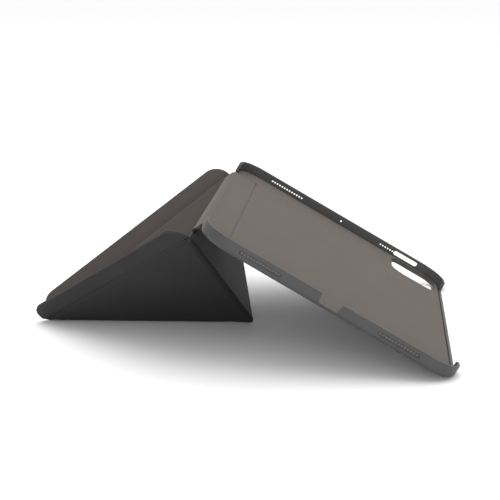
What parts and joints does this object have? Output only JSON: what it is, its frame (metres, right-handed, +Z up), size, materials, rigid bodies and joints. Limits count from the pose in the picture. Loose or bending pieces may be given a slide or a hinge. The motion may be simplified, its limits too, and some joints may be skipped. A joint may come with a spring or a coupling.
{
  "type": "folding tablet case",
  "caption": "Hard tray for a tablet with a folding panel cover that stands as an open boat behind it and holds the tray at a low typing angle",
  "frame": {"origin": "on the table under the middle of the whole footprint", "axes": "+Z up, +Y along the hinge between tray and cover, +X from the folded cover to the tray's lower edge"},
  "size_m": [0.2914, 0.2524, 0.0975],
  "materials": {
    "tray_shell": "fine matte moulded polycarbonate",
    "cover_outer": "charcoal synthetic leather with a fine pebble grain",
    "lining": "taupe microfibre with a short nap",
    "board": "plain sheet, hidden between the layers",
    "magnet": "nickel plated bars, hidden in the boards"
  },
  "bodies": {
    "tray": {"shell_tray": "tray_shell", "hinge_flap": "lining", "tray_lining": "lining"},
    "spine": {"spine_skin": "cover_outer", "spine_board": "board", "spine_lining": "lining", "cover_crease": "cover_outer"},
    "centre": {"centre_skin": "cover_outer", "centre_board": "board", "centre_lining": "lining", "centre_magnets": "magnet", "near_side_crease": "cover_outer", "far_side_crease": "cover_outer"},
    "near_side": {"near_side_skin": "cover_outer", "near_side_board": "board", "near_side_lining": "lining", "near_side_magnets": "magnet", "near_edge_crease": "cover_outer", "near_gusset_crease": "cover_outer"},
    "near_edge": {"near_edge_skin": "cover_outer", "near_edge_board": "board", "near_edge_lining": "lining", "near_edge_magnets": "magnet"},
    "near_gusset": {"near_gusset_skin": "cover_outer", "near_gusset_board": "board", "near_gusset_lining": "lining", "near_gusset_magnets": "magnet", "centre_fold": "lining"},
    "far_side": {"far_side_skin": "cover_outer", "far_side_board": "board", "far_side_lining": "lining", "far_side_magnets": "magnet", "far_edge_crease": "cover_outer", "far_gusset_crease": "cover_outer"},
    "far_edge": {"far_edge_skin": "cover_outer", "far_edge_board": "board", "far_edge_lining": "lining", "far_edge_magnets": "magnet"},
    "far_gusset": {"far_gusset_skin": "cover_outer", "far_gusset_board": "board", "far_gusset_lining": "lining", "far_gusset_magnets": "magnet"}
  },
  "joints": [
    {"name": "spine_hinge", "type": "hinge", "parent": "tray", "child": "spine", "pos_m": [-0.01592, 0, 0.09131], "axis": [0, 1, 0], "range_deg": [0, 153.9]},
    {"name": "cover_hinge", "type": "hinge", "parent": "spine", "child": "centre", "pos_m": [-0.02329, 0, 0.08634], "axis": [0, 1, 0], "range_deg": [0, 164.86]},
    {"name": "near_side_fold", "type": "hinge", "parent": "centre", "child": "near_side", "pos_m": [-0.02329, -0.116, 0.08634], "axis": [-0.1983, -0.7897, 0.5806], "range_deg": [0, 103.37]},
    {"name": "near_edge_fold", "type": "hinge", "parent": "near_side", "child": "near_edge", "pos_m": [-0.02329, -0.116, 0.08634], "axis": [0.6477, -0.5995, 0.4702], "range_deg": [0, 16.4]},
    {"name": "near_gusset_fold", "type": "hinge", "parent": "near_side", "child": "near_gusset", "pos_m": [0.0058, 0.00087, 0.00221], "axis": [-0.9988, -0.0494, 0], "range_deg": [0, 173], "deforming": ["centre_fold"]},
    {"name": "far_side_fold", "type": "hinge", "parent": "centre", "child": "far_side", "pos_m": [-0.02329, 0.116, 0.08634], "axis": [0.1983, -0.7897, -0.5806], "range_deg": [0, 103.37]},
    {"name": "far_edge_fold", "type": "hinge", "parent": "far_side", "child": "far_edge", "pos_m": [-0.02329, 0.116, 0.08634], "axis": [-0.6477, -0.5995, -0.4702], "range_deg": [0, 16.4]},
    {"name": "far_gusset_fold", "type": "hinge", "parent": "far_side", "child": "far_gusset", "pos_m": [0.00584, 0, 0.00105], "axis": [0.9988, -0.0494, 0], "range_deg": [0, 110]}
  ],
  "couplings": [
    {"joint": "near_side_fold", "follows": "cover_hinge", "ratio": 0.62702},
    {"joint": "near_edge_fold", "follows": "cover_hinge", "ratio": 0.099478},
    {"joint": "near_gusset_fold", "follows": "cover_hinge", "ratio": 1.0494},
    {"joint": "far_side_fold", "follows": "cover_hinge", "ratio": 0.62702},
    {"joint": "far_edge_fold", "follows": "cover_hinge", "ratio": 0.099478},
    {"joint": "far_gusset_fold", "follows": "cover_hinge", "ratio": 0.66723}
  ]
}
